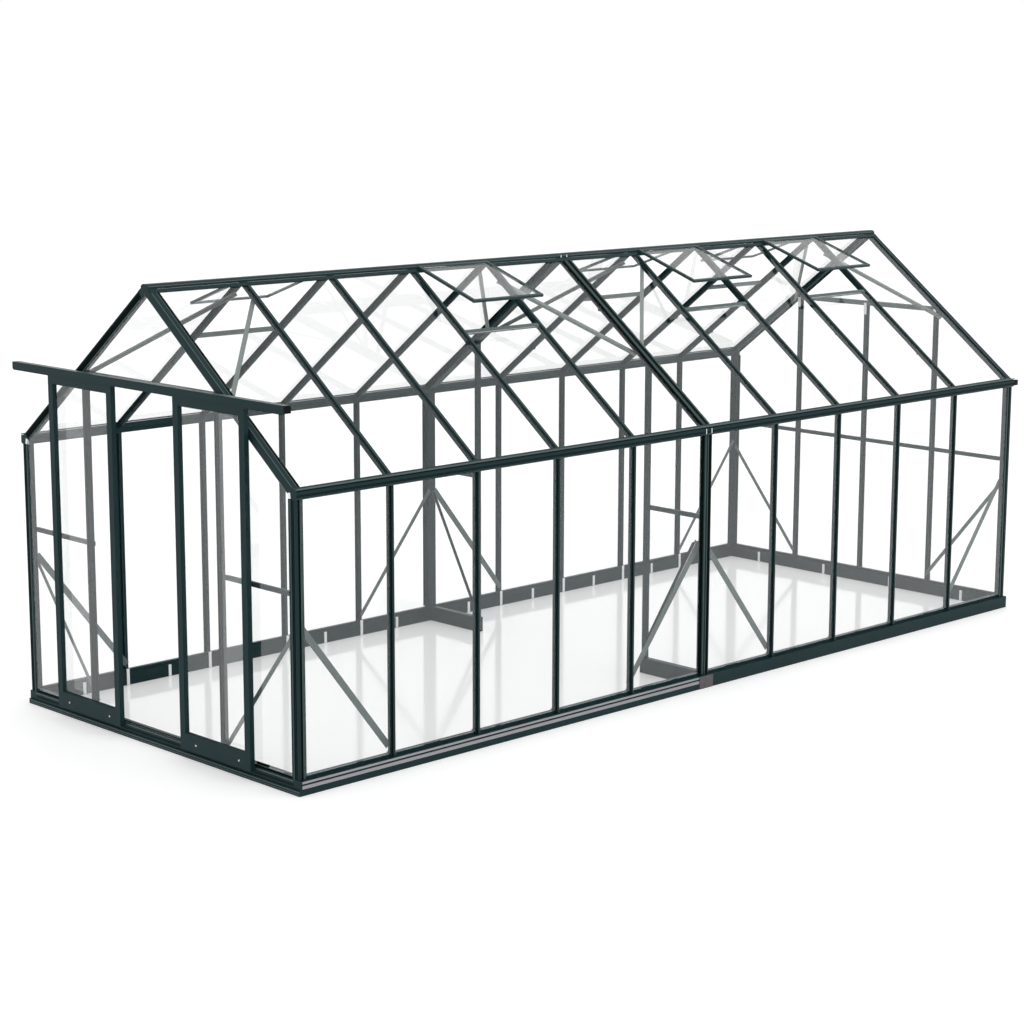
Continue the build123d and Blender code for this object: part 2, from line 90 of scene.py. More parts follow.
# Across the eave beam: a pale band near its top paints a highlight, and thin black lines below it
# paint the shade in its recesses
EAVE_HIGHLIGHT_BAND = (-0.0590, -0.0525)
EAVE_SHADE_LINES = ((-0.0490, -0.0440), (-0.0255, -0.0225), (-0.0195, -0.0165))

# ---- Seals along the middle panes: edges across, depth range about the pane, and ends ----
WALL_SEAL, WALL_SEAL_DEPTH, WALL_SEAL_RAISED = (-0.054, -0.0415), (-0.001, 0.002), 0.020
ROOF_SEAL, ROOF_SEAL_DEPTH, ROOF_SEAL_ENDS = (-0.058, -0.0415), (-0.001, 0.003), (0.012, 0.040)

# ---- Trim along the roof: distances short of its lower and upper edges, and lift off it ----
RAFTER_SEAL_ENDS = (0.012, 0.030)
RAFTER_SEAL_LIFT = -0.023
RAFTER_BEAD_ENDS = (0.030, 0.050)
RAFTER_BEAD_LIFT = -0.0455

# ---- Trim along the ridge: edges up the slope, depth range, and distance below the ridge ----
RIDGE_SEAL, RIDGE_SEAL_DEPTH, RIDGE_SEAL_BELOW = (-0.001, 0.0065), (-0.002, 0.001), 0.0085
RIDGE_SKIRT, RIDGE_SKIRT_DEPTH, RIDGE_SKIRT_BELOW = (0.0, 0.0265), (-0.004, 0.0018), 0.0065
RIDGE_BEAD_BELOW = 0.0125

# ---- Strips on the front of the base: which part, lower edge and upper edge ----
# Pale lines are painted highlights along the base's edges; black lines are painted shade under its
# ledges
BASE_HIGHLIGHT_LINES = (("block", 0.0205, 0.0245), ("block", 0.0085, 0.0115), ("rail", 0.0680, 0.0735),
             ("sill", 0.0885, 0.0930))
BASE_SHADE_LINES = (("rail", 0.0455, 0.0485), ("rail", 0.0525, 0.0560), ("sill", 0.0800, 0.0855))
SILL_INSET = 0.03
# End plates: margin above and below, distances from the rear end, and depth under the face
PLATE_MARGIN, PLATE_ENDS, PLATE_RECESS = 0.004, (0.001, 0.040), 0.0001
DRAIN_SLOT_X, DRAIN_SLOT_Z, DRAIN_SLOT_DEPTH = (1.0, 0.9), (0.0985, 0.1120), (-0.001, 0.003)

# ---- Fittings ----
# Door beads are wedges: how far they are let in at the glass, and how thick their thin edge is
DOOR_BEAD_SUNK, DOOR_BEAD_EDGE = 0.001, 0.0005
# Inset of each door's two screws from its left and right edges
DOOR_SCREWS = {"left": (0.111, 0.104), "right": (0.139, 0.0985)}
# Door track: thickness of its lip, how far lip and top strip are let in, and the top strip's inset
# in x, y; the top strip's pale coat paints the sky's reflection
TRACK_LIP_THICK, TRACK_SUNK, TRACK_HIGHLIGHT_INSET = 0.0012, 0.0005, (0.002, 0.003)
# Shares of a partition brace's length between which its lip runs
PARTITION_LIP_RUN = (0.02, 0.93)
# Cleats at the corners: half width, lower end from the wall's face and the eave, and run in x, z
CORNER_CLEAT_HALF, CORNER_CLEAT_PLACE, CORNER_CLEAT_RUN = 0.009, (-0.036, 0.004), (-0.006, 0.030)
CORNER_CLEAT_LIFT = 0.0006
CLEAT_SUNK = 0.001
# Cleats at the middle frame: half width, the places along the building, lower and upper end
EAVE_CLEATS = (0.0025, (-0.036, 0.012), 0.010, 0.040)
RIDGE_CLEATS = (0.0035, (-0.030, 0.020), -0.024, -0.008)
# Cleats on the left, middle and right rear posts: lower ends; half width, depth, reach past top
REAR_CLEATS = (1.965, 1.955, 1.992)
REAR_CLEAT_HALF, REAR_CLEAT_SUNK, REAR_CLEAT_REACH = 0.012, 0.0008, 0.018
# Bolts inside the roof: bar line and distance up the slope; y and distances up the middle rafter
BAR_BOLTS = ((4, 1.012), (6, 0.410), (7, 0.942), (8, 0.626), (9, 0.359))
MIDDLE_BOLT_Y, MIDDLE_BOLTS = -0.03, (0.575, 0.677, 1.061)

# ---- What a node wears, where it isn't the green powder coat or plain clear glass ----
WEAR = {
    "thin roof glass": ("left_roof_glass", "right_roof_glass", "vent_glass"),
    "brace coat with painted glass sheen": ("wall_braces", "vent_sills", "rear_gable_head"),
    "vent coat": ("vent_frames",),
    "roof brace coat with painted glass sheen": ("roof_braces",),
    "black plastic": ("door_track_caps", "gutter_ends"),
    "mill aluminium": ("right_base_strips", "left_door_rollers", "right_door_rollers"),
    "bright zinc": ("base_clips",),
    "joint plate": ("base_joint_plates",),
}


# ---- Sizes and colours ----
def length(name, description, default):
    return FloatProperty(name=name, description=description, default=default, unit="LENGTH")


def tone(name, description, default):
    return FloatVectorProperty(name=name, description=description, default=default,
                               subtype="COLOR", size=3, min=0.0, max=1.0)


def place(name, description, default):
    return FloatVectorProperty(name=name, description=description, default=default,
                               subtype="TRANSLATION", size=3)


def angle(name, description, default):
    return FloatProperty(name=name, description=description, default=default, subtype="ANGLE")


def number(name, description, default):
    return FloatProperty(name=name, description=description, default=default)


class GreenhouseFrame(bpy.types.PropertyGroup):
    bay_pitch: length("Bay pitch", "Spacing of the glazing bars", 0.62)
    mid_spread: length("Middle spread", "Spacing of the two half-frames at the middle", 0.0392)
    wall_face: length("Wall face", "Middle of the building to a long wall's face",
                      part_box("right_wall_bars")[1].x)
    gable_face: length("Gable face", "Middle of the building to a gable's face",
                       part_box("eave_beams")[1].y)
    base_top: length("Base top", "Height of the base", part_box("right_base_rails")[1].z)
    eave_bottom: length("Eave bottom", "Height of the eave beams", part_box("eave_beams")[0].z)
    roof_foot: length("Roof foot", "Middle of the building to the roof's lower edge", 1.229)
    roof_rise: length("Roof foot height", "Height of the roof's lower edge", 1.6125)
    roof_slope: length("Roof slope", "Length of the roof up its slope", 1.51)
    roof_pitch: angle("Roof pitch", "Slope of the roof", math.radians(37.7))
    pane_depth: length("Pane depth", "A wall or roof face to its glass", 0.008)
    post_x: length("Gable post", "Middle of the building to the gable posts", 0.607)
    brace_plane: length("Brace plane", "A wall's face to the inside of its braces", 0.041)
    brace_width: length("Brace width", "Width of a brace", 0.026)
    brace_thick: length("Brace thickness", "Thickness of a brace", 0.003)
    brace_top: length("Brace top", "Height of a wall brace's upper end", 0.9)
    brace_foot: length("Brace foot", "Height of a brace's lower end", 0.135)
    brace_inset: length("Brace inset", "Middle of the building to the first braces", 0.024)
    brace_corner: length("Brace corner", "A gable's face to the corner braces", 0.049)
    partition_x: length("Partition post", "Middle of the building to a partition post", 0.758)
    partition_face: length("Partition face", "Middle line to the face of the partition braces",
                           0.018)
    roof_brace_foot: length("Roof brace foot", "Right eave to a roof brace's lower end", 0.668)
    roof_brace_foot_left: length("Left roof brace foot", "Left eave to a roof brace's lower end",
                                 0.722)
    roof_brace_rise: length("Roof brace rise", "Length of a roof brace up the slope", 0.728)


class GreenhouseTrim(bpy.types.PropertyGroup):
    proud: length("Strip height", "How far a black glazing strip stands proud", 0.0012)
    line_proud: length("Line height", "How far the lines along the beams stand proud", 0.0008)
    # the base's pale raised lines are painted highlights
    highlight_line_proud: length("Rib height", "How far the ribs of the base stand proud", 0.0007)
    sunk: length("Sink", "How far trim is let into what carries it", 0.0006)
    foot_gap: length("Foot gap", "Base to the lower end of upright trim", 0.002)
    head_gap: length("Head gap", "Upper end of upright trim to the eave", 0.001)
    slope_gap: length("Slope gap", "Ends of sloping trim to the eave and the ridge", 0.004)
    front_top: length("Front strip top", "Height of the strips on the door gable's posts", 1.98)
    rear_top: length("Rear strip top", "Height of the strips on the rear gable's posts", 2.018)
    bead: length("Bead", "Radius of the rounded beads along edges", 0.0022)
    fine_bead: length("Fine bead", "Radius of the beads along the glazing bars", 0.0018)
    lip: length("Brace lip", "Width of the lip along a wall brace's lower edge", 0.012)
    flange: length("Brace flange", "Depth of the flange along a roof brace", 0.015)
    partition_lip: length("Partition lip", "Depth of the lip along a partition brace", 0.017)
    door_bead: length("Door bead", "Height of a door's glazing bead at the glass", 0.006)
    door_gap: length("Door bead gap", "Door bead to the door's front and the glass's middle",
                     0.002)
    track_lip: length("Track lip", "Depth of the lip under the door track", 0.007)
    head: length("Screw head", "Radius of a screw head", 0.0055)
    head_rise: length("Screw head height", "Height of a screw head", 0.003)
    screw_rise: length("Screw place", "Foot of a door to its screws", 0.040)
    bolt: length("Bolt head", "Radius of a bolt head inside the roof", 0.009)
    bolt_rise: length("Bolt head height", "Height of a bolt head", 0.008)
    bolt_depth: length("Bolt place", "The roof's face to the bolt heads under it", 0.0385)


class GreenhouseFinish(bpy.types.PropertyGroup):
    coat: tone("Coat colour", "Dark green powder coat on the frame", (0.0112, 0.0305, 0.0340))
    # Pale coat for edge beads, bands and strips: it paints the highlights along edges
    painted_highlight_coat: tone("Bead colour", "Coat where it is thin on rounded edges", (0.095, 0.135, 0.13))
    # Braces are seen behind the glass: these lighter coats paint the glass's pale sheen over the
    # frame's own dark green
    brace_coat_with_glass_sheen: tone("Brace colour", "Lighter coat on the braces", (0.10, 0.135, 0.13))
    roof_brace_coat: tone("Roof brace colour", "Pale coat on the roof braces",
                          (0.19, 0.225, 0.215))
    vent_coat: tone("Vent colour", "Coat on the vent frames", (0.03, 0.058, 0.058))
    metal: tone("Metal colour", "Mill finish aluminium", (0.32, 0.315, 0.33))
    clip: tone("Clip colour", "Bright zinc clips", (0.92, 0.93, 0.93))
    plate: tone("Plate colour", "Joint plates on the base", (0.10, 0.088, 0.095))
    plastic: tone("Plastic colour", "Moulded end caps", (0.0035, 0.0035, 0.0035))
    # the same black also paints shade lines on the eave beams and the base
    rubber: tone("Strip colour", "Black glazing strips", (0.0015, 0.0045, 0.0040))
    glass: tone("Glass colour", "Slight tint of the sheets", (0.995, 1.0, 0.998))
    wall_ior: number("Wall glass index", "Index of refraction of upright sheets", 1.42)
    roof_ior: number("Roof glass index", "Index of refraction of the sheets overhead", 1.27)


class GreenhouseStudio(bpy.types.PropertyGroup):
    camera_place: place("Camera place", "Where the camera stands",
                        (10.4021364, -10.4732049, 3.70326251))
    camera_turn: angle("Camera turn", "Turn of the view", 0.802330699)
    camera_fall: angle("Camera fall", "How far the view looks down", 0.186947231)
    camera_roll: angle("Camera roll", "Roll about the line of sight", 0.00204554782)
    lens: number("Lens", "Focal length in millimetres", 82.762)
    sensor: number("Sensor", "Width of the sensor in millimetres", 36.0)
    sky: number("Sky light", "Strength of the even light", 0.95)
    lamp: number("Lamp", "Power of the large soft lamp in watts", 120.0)
    lamp_size: length("Lamp size", "Side of the large soft lamp", 5.0)
    lamp_place: place("Lamp place", "Where the large soft lamp hangs", (7.5, 1.5, 6.0))
    lamp_tone: tone("Lamp colour", "Colour of the large soft lamp", (0.93, 0.97, 1.0))
    floor_reach: length("Floor reach", "Half the side of the floor", 60.0)
    floor_tone: tone("Floor colour", "Colour of the floor", (0.8, 0.8, 0.8))
    floor_glow: number("Floor glow", "Light the open floor gives off where it is seen", 0.33)
    inner_glow: number("Inner floor glow", "The same for the floor under the building", 0.195)
    inset_x: length("Polish inset", "Building's side to the polished floor", 0.03)
    inset_y: length("Polish end inset", "Building's end to the polished floor", 0.06)


def sizes():
    return bpy.context.scene.greenhouse_frame


def trims():
    return bpy.context.scene.greenhouse_trim


# ---- Surfaces worked out as whole arrays ----
def add_mesh(name, points, faces, material, body=BODY, slot="green_frame"):
    """New piece from an array of points and lists of corners, riding on a body."""
    mesh = bpy.data.meshes.new(name)
    mesh.from_pydata(points.tolist(), [], faces)
    mesh.update()
    mesh.materials.append(material)
    piece = bpy.data.objects.new(name, mesh)
    bpy.context.scene.collection.objects.link(piece)
    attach(piece, body)


def run_profile(profile, starts, ends, outward):
    """Points and faces of a closed section carried along straight runs.

    A point is start or end + u (along x outward) + v outward, for the section's (u, v) taken
    anticlockwise; u runs across the member. Every run gives one closed solid.
    """
    profile = np.asarray(profile, float)
    starts, ends, outward = (np.atleast_2d(np.asarray(a, float)) for a in (starts, ends, outward))
    outward = np.broadcast_to(outward, starts.shape)
    along = ends - starts
    along /= np.linalg.norm(along, axis=1, keepdims=True)
    across = np.cross(along, outward)
    section = (profile[None, :, :1] * across[:, None, :]
               + profile[None, :, 1:] * outward[:, None, :])
    rings = np.stack([starts[:, None, :] + section, ends[:, None, :] + section], axis=1)
    count = len(profile)
    corner = np.arange(count)
    nxt = (corner + 1) % count
    sides = np.stack([corner, corner + count, nxt + count, nxt], axis=1)
    base = 2 * count * np.arange(len(starts))
    faces = (base[:, None, None] + sides[None]).reshape(-1, 4).tolist()
    faces += (base[:, None] + corner[None]).tolist()
    faces += (base[:, None] + count + corner[None, ::-1]).tolist()
    return rings.reshape(-1, 3), faces


def strip(u0, u1, low=None, high=None):
    """Flat section from u0 to u1 across; unless told otherwise, let in and proud as trim is."""
    low = -trims().sunk if low is None else low
    high = trims().proud if high is None else high
    return [(u0, low), (u1, low), (u1, high), (u0, high)]


def bead(u, radius=None, steps=6):
    """Half round let in: (u + r cos t, r sin t - sunk) for t from 0 to half a turn."""
    radius = trims().bead if radius is None else radius
    turn = np.linspace(0.0, math.pi, steps + 1)
    return np.stack([u + radius * np.cos(turn), radius * np.sin(turn) - trims().sunk], axis=1)


def domes(centres, outward, radius, height, rings=4, spokes=14, root=0.3):
    """Round heads on a short shank, let in by the share root of their height h.

    A point at spoke angle a is r cos(s) from the axis and h sin(s) up, as s runs from 0 towards
    a quarter turn. The last ring is closed flat.
    """
    centres = np.atleast_2d(np.asarray(centres, float))
    outward = np.broadcast_to(np.asarray(outward, float), centres.shape)
    side = np.cross(outward, np.where(np.abs(outward[:, 2:]) > 0.9, X, Z))
    side /= np.linalg.norm(side, axis=1, keepdims=True)
    other = np.cross(outward, side)
    lean = np.linspace(0, math.pi / 2, rings + 1)[:-1]
    reach = np.append(1.0, np.cos(lean)) * radius
    rise = np.append(-root, np.sin(lean)) * height
    turn = np.linspace(0, 2 * math.pi, spokes, endpoint=False)
    flat = (np.cos(turn)[:, None, None] * side[None] + np.sin(turn)[:, None, None] * other[None])
    grid = (centres[None, None] + reach[:, None, None, None] * flat[None]
            + rise[:, None, None, None] * outward[None, None])
    grid = grid.transpose(2, 0, 1, 3)
    layers = len(reach)
    ring = np.arange(spokes)
    quads = np.stack([ring, (ring + 1) % spokes, (ring + 1) % spokes + spokes, ring + spokes], 1)
    quads = (quads[None] + spokes * np.arange(layers - 1)[:, None, None]).reshape(-1, 4)
    size = layers * spokes
    base = size * np.arange(len(centres))
    faces = (base[:, None, None] + quads[None]).reshape(-1, 4).tolist()
    faces += (base[:, None] + ring[None, ::-1]).tolist()
    faces += (base[:, None] + size - spokes + ring[None]).tolist()
    return grid.reshape(-1, 3), faces


def gather(*parts):
    """Several arrays of points with their faces, joined into one."""
    points, faces, count = [], [], 0
    for part_points, part_faces in parts:
        points.append(part_points)
        faces += [[corner + count for corner in face] for face in part_faces]
        count += len(part_points)
    return np.concatenate(points), faces


def mirrored(part):
    """The same part across the middle of the building, with its faces turned round."""
    points, faces = part
    return points * MIRROR_X, [face[::-1] for face in faces]


def both(*parts):
    """Parts joined into one, with their mirror image."""
    part = gather(*parts)
    return gather(part, mirrored(part))


# ---- Places on the building ----
def line_y(lines):
    """Y of bar lines 1 to 9, counted from the door gable; line 5 is the middle."""
    step = np.asarray(lines, float) - 5
    return step * sizes().bay_pitch + np.sign(step) * sizes().mid_spread / 2


def frame_y(row):
    """Y of the door gable's face (-1), the middle (0) or the rear gable's face (1)."""
    return row * sizes().gable_face


def wall_ends():
    """Heights of the lower and upper end of upright trim."""
    return sizes().base_top + trims().foot_gap, sizes().eave_bottom - trims().head_gap


def upright(x, y, low, high):
    """Ends of one upright line."""
    return [(x, y, low)], [(x, y, high)]


def wall_runs(y, raised=0.0):
    """Ends of upright lines on the right wall's face, the lower ones raised by some length."""
    low, high = wall_ends()
    level = np.array([(sizes().wall_face, each, 0.0) for each in np.atleast_1d(y)])
    return level + (low + raised) * Z, level + high * Z


def long_run(x, z):
    """Ends of a level line from gable to gable."""
    return [(x, frame_y(-1), z)], [(x, frame_y(1), z)]


def slope_axes():
    """Directions up the right slope and out of it."""
    pitch = sizes().roof_pitch
    up = np.array([-math.cos(pitch), 0, math.sin(pitch)])
    out = np.array([math.sin(pitch), 0, math.cos(pitch)])
    return up, out


def on_slope(distance, y, lift=0.0):
    """Point on the right slope, a distance up from its lower edge, lifted off it by lift."""
    up, out = slope_axes()
    foot = np.array([sizes().roof_foot, 0, sizes().roof_rise])
    return foot + distance * up + lift * out + np.multiply.outer(np.asarray(y, float), Y)


def slope_runs(y, below, above, lift=0.0):
    """Ends of lines up the right slope, short of its lower and its upper edge."""
    return on_slope(below, y, lift), on_slope(sizes().roof_slope - above, y, lift)


def ridge_run(below):
    """Ends of a line along the right slope, a distance below its upper edge."""
    distance = sizes().roof_slope - below
    return on_slope(distance, frame_y(-1)), on_slope(distance, frame_y(1))


def brace_rows():
    """Braces of one side: y at the frame, bar line at the other end, side of the lower edge."""
    inset = sizes().brace_inset
    corner = sizes().gable_face - sizes().brace_corner
    return (-corner, 1, 1), (-inset, 4, -1), (inset, 6, 1), (corner, 9, -1)


# ---- Finishes ----
def new_material(name):
    material = bpy.data.materials.new(name)
    material.use_nodes = True
    tree = material.node_tree
    shader = tree.nodes["Principled BSDF"]
    return material, tree, shader


def calculate(tree, operation, *values):
    """Output of a math node whose inputs are other outputs or plain numbers."""
    node = tree.nodes.new("ShaderNodeMath")
    node.operation = operation
    for socket, value in zip(node.inputs, values):
        if isinstance(value, bpy.types.NodeSocket):
            tree.links.new(value, socket)
        else:
            socket.default_value = value
    return node.outputs[0]


def remap(tree, source, low, high, start=0.0, stop=1.0):
    """Output that runs from low to high as the source runs from start to stop."""
    span = tree.nodes.new("ShaderNodeMapRange")
    for name, value in (("From Min", start), ("From Max", stop), ("To Min", low),
                        ("To Max", high)):
        span.inputs[name].default_value = value
    tree.links.new(source, span.inputs["Value"])
    return span.outputs["Result"]


def mottle_group():
    """Mottle: a broad noise gives a mask for colour, and a fine one gives a height."""
    group = bpy.data.node_groups.new("surface mottle", "ShaderNodeTree")
    face = group.interface
    face.new_socket("Vector", in_out="INPUT", socket_type="NodeSocketVector")
    face.new_socket("Fine scale", in_out="INPUT", socket_type="NodeSocketFloat")
    face.new_socket("Broad scale", in_out="INPUT", socket_type="NodeSocketFloat")
    face.new_socket("Mask", in_out="OUTPUT", socket_type="NodeSocketFloat")
    face.new_socket("Height", in_out="OUTPUT", socket_type="NodeSocketFloat")
    source = group.nodes.new("NodeGroupInput")
    sink = group.nodes.new("NodeGroupOutput")
    for scale, detail, result in (("Broad scale", 2.0, "Mask"), ("Fine scale", 3.0, "Height")):
        noise = group.nodes.new("ShaderNodeTexNoise")
        noise.inputs["Detail"].default_value = detail
        group.links.new(source.outputs["Vector"], noise.inputs["Vector"])
        group.links.new(source.outputs[scale], noise.inputs["Scale"])
        group.links.new(noise.outputs["Fac"], sink.inputs[result])
    return group


def mottle(tree, group, fine, broad, stretch=(1, 1, 1)):
    """Places the mottle group on Object coordinates with its own scales."""
    coordinates = tree.nodes.new("ShaderNodeTexCoord")
    mapping = tree.nodes.new("ShaderNodeMapping")
    mapping.inputs["Scale"].default_value = stretch
    node = tree.nodes.new("ShaderNodeGroup")
    node.node_tree = group
    node.inputs["Fine scale"].default_value = fine
    node.inputs["Broad scale"].default_value = broad
    tree.links.new(coordinates.outputs["Object"], mapping.inputs["Vector"])
    tree.links.new(mapping.outputs["Vector"], node.inputs["Vector"])
    return node


def vary(tree, source, socket, low, high):
    """Maps a mask from 0.3..0.7, where noise mostly lies, to low..high on one input."""
    tree.links.new(remap(tree, source, low, high, 0.3, 0.7), socket)


def shade(tree, shader, source, colour, spread):
    """Colour that runs a little darker and lighter with a mask."""
    mix = tree.nodes.new("ShaderNodeMix")
    mix.data_type = "RGBA"
    mix.inputs["A"].default_value = (*[c * (1 - spread) for c in colour], 1)
    mix.inputs["B"].default_value = (*[min(1, c * (1 + spread)) for c in colour], 1)
    tree.links.new(source, mix.inputs["Factor"])
    tree.links.new(mix.outputs["Result"], shader.inputs["Base Color"])


def bump(tree, shader, source, strength, distance):
    node = tree.nodes.new("ShaderNodeBump")
    node.inputs["Strength"].default_value = strength
    node.inputs["Distance"].default_value = distance
    tree.links.new(source, node.inputs["Height"])
    tree.links.new(node.outputs["Normal"], shader.inputs["Normal"])


def solid_material(name, group, colour, roughness, fine, broad=2.2, metallic=0.0, spread=0.14,
                   specular=0.5, relief=0.0003, stretch=(1, 1, 1), uneven=0.04):
    """Opaque finish with mottled colour, uneven roughness and a slight relief."""
    tree, shader = new_material(name)[1:]
    node = mottle(tree, group, fine, broad, stretch)
    shade(tree, shader, node.outputs["Mask"], colour, spread)
    vary(tree, node.outputs["Height"], shader.inputs["Roughness"], roughness - uneven,
         roughness + uneven)
    bump(tree, shader, node.outputs["Height"], strength=0.2, distance=relief)
    shader.inputs["Metallic"].default_value = metallic
    shader.inputs["Specular IOR Level"].default_value = specular


def coat_material(name, group, colour, roughness, specular):
    """Powder coat: a shallower grain than the other finishes have."""
    solid_material(name, group, colour, roughness, fine=420.0, specular=specular,
                   relief=0.00008)


def glass_material(name, group, colour, ior):
    """Clear sheet; shadow and diffuse rays pass straight through it."""
    tree, shader = new_material(name)[1:]
    shader.inputs["Base Color"].default_value = (*colour, 1)
    shader.inputs["Transmission Weight"].default_value = 1.0
    shader.inputs["IOR"].default_value = ior
    node = mottle(tree, group, fine=6.0, broad=1.5)
    vary(tree, node.outputs["Mask"], shader.inputs["Roughness"], 0.0, 0.01)
    path = tree.nodes.new("ShaderNodeLightPath")
    either = calculate(tree, "MAXIMUM", path.outputs["Is Shadow Ray"],
                       path.outputs["Is Diffuse Ray"])
    through = tree.nodes.new("ShaderNodeBsdfTransparent")
    through.inputs["Color"].default_value = (0.98, 0.98, 0.98, 1)
    mix = tree.nodes.new("ShaderNodeMixShader")
    tree.links.new(either, mix.inputs["Fac"])
    tree.links.new(shader.outputs["BSDF"], mix.inputs[1])
    tree.links.new(through.outputs["BSDF"], mix.inputs[2])
    tree.links.new(mix.outputs["Shader"], tree.nodes["Material Output"].inputs["Surface"])


def finish(name):
    return bpy.data.materials[name]


class GREENHOUSE_OT_finishes(bpy.types.Operator):
    """Give each part of the frame its coat, metal, plastic or glass"""
    bl_idname = "greenhouse.finishes"
    bl_label = "Finish the frame"

    def execute(self, context):
        look = context.scene.greenhouse_finish
        group = mottle_group()
        coat_material("green powder coat", group, look.coat, roughness=0.34, specular=0.09)
        # pale coat that paints edge highlights on beads, bands and strips
        coat_material("painted edge highlight coat", group, look.painted_highlight_coat, roughness=0.38, specular=0.2)
        # lighter brace coats paint the sheen of the glass in front of the braces
        coat_material("brace coat with painted glass sheen", group, look.brace_coat_with_glass_sheen, roughness=0.38, specular=0.15)
        coat_material("roof brace coat with painted glass sheen", group, look.roof_brace_coat, roughness=0.38,
                      specular=0.15)
        coat_material("vent coat", group, look.vent_coat, roughness=0.36, specular=0.12)
        # the grain of the bare metal is drawn out along the building
        solid_material("mill aluminium", group, look.metal, roughness=0.36, fine=260.0,
                       metallic=0.9, stretch=(1, 0.04, 1))
        solid_material("bright zinc", group, look.clip, roughness=0.45, fine=180.0, broad=40.0,
                       metallic=0.1, spread=0.08)
        solid_material("joint plate", group, look.plate, roughness=0.5, fine=300.0, broad=30.0,
                       spread=0.3, specular=0.3)
        solid_material("black plastic", group, look.plastic, roughness=0.5, fine=700.0,
                       specular=0.08)
        # black rubber of the glazing strips, also used for lines that paint shade on the eave
        # beams and the base
        solid_material("black rubber and painted shade", group, look.rubber, roughness=0.62, fine=500.0,
                       specular=0.02)
        glass_material("clear glass", group, look.glass, look.wall_ior)
        glass_material("thin roof glass", group, look.glass, look.roof_ior)
        wear = {name: "clear glass" if name.endswith("_glass") else "green powder coat"
                for name in nodes}
        for material, names in WEAR.items():
            wear.update(dict.fromkeys(names, material))
        for name, material in wear.items():
            for slot in nodes[name].material_slots:
                slot.material = finish(material)
        return {"FINISHED"}


class GREENHOUSE_OT_glazing_strips(bpy.types.Operator):
    """Black glazing strips along the bars, posts and rafters"""
    bl_idname = "greenhouse.glazing_strips"
    bl_label = "Lay the glazing strips"

    def execute(self, context):
        size, trim = sizes(), trims()
        rubber = finish("black rubber and painted shade")
        out = slope_axes()[1]
        bars = line_y(BAR_LINES)
        gap = trim.slope_gap

        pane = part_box("right_wall_glass")[1].x - size.wall_face
        wall = [run_profile(strip(*BAR_STRIP), *wall_runs(bars), X),
                run_profile(strip(*WALL_SEAL, *(pane + depth for depth in WALL_SEAL_DEPTH)),
                            *wall_runs(0.0, raised=WALL_SEAL_RAISED), X)]
        for row, u0, u1 in WALL_STRIPS:
            wall.append(run_profile(strip(u0, u1), *wall_runs(frame_y(row)), X))
        add_mesh("wall_glazing_strips", *both(*wall), rubber, slot="black_plastic")

        pane = -size.pane_depth
        roof = [run_profile(strip(*ROOF_BAR_STRIP), *slope_runs(bars, gap, gap), out),
                run_profile(strip(*ROOF_SEAL, *(pane + depth for depth in ROOF_SEAL_DEPTH)),
                            *slope_runs(0.0, *ROOF_SEAL_ENDS), out),
                run_profile(strip(*RIDGE_SEAL, *RIDGE_SEAL_DEPTH), *ridge_run(RIDGE_SEAL_BELOW),
                            out)]
        for row, u0, u1 in ROOF_STRIPS:
            roof.append(run_profile(strip(u0, u1), *slope_runs(frame_y(row), gap, gap), out))
        add_mesh("roof_glazing_strips", *both(*roof), rubber, slot="black_plastic")

        low = wall_ends()[0]
        front = [run_profile(strip(*BAR_STRIP),
                             *upright(size.post_x, frame_y(-1), low, trim.front_top), -Y)]
        for edges in CORNER_STRIPS:
            front.append(run_profile(strip(*edges), *wall_runs(frame_y(-1)), -Y))
        rear = [run_profile(strip(*BAR_STRIP), *upright(x, frame_y(1), low, trim.rear_top), Y)
                for x in (size.post_x, -size.post_x, 0.0)]
        add_mesh("gable_glazing_strips", *gather(both(*front), *rear), rubber,
                 slot="black_plastic")

        front, rear = (run_profile(strip(*RAFTER_SEAL), *slope_runs(
            frame_y(end), *RAFTER_SEAL_ENDS, RAFTER_SEAL_LIFT), end * Y) for end in (-1, 1))
        add_mesh("rafter_seals", *gather(mirrored(front), rear), rubber, slot="black_plastic")
        return {"FINISHED"}


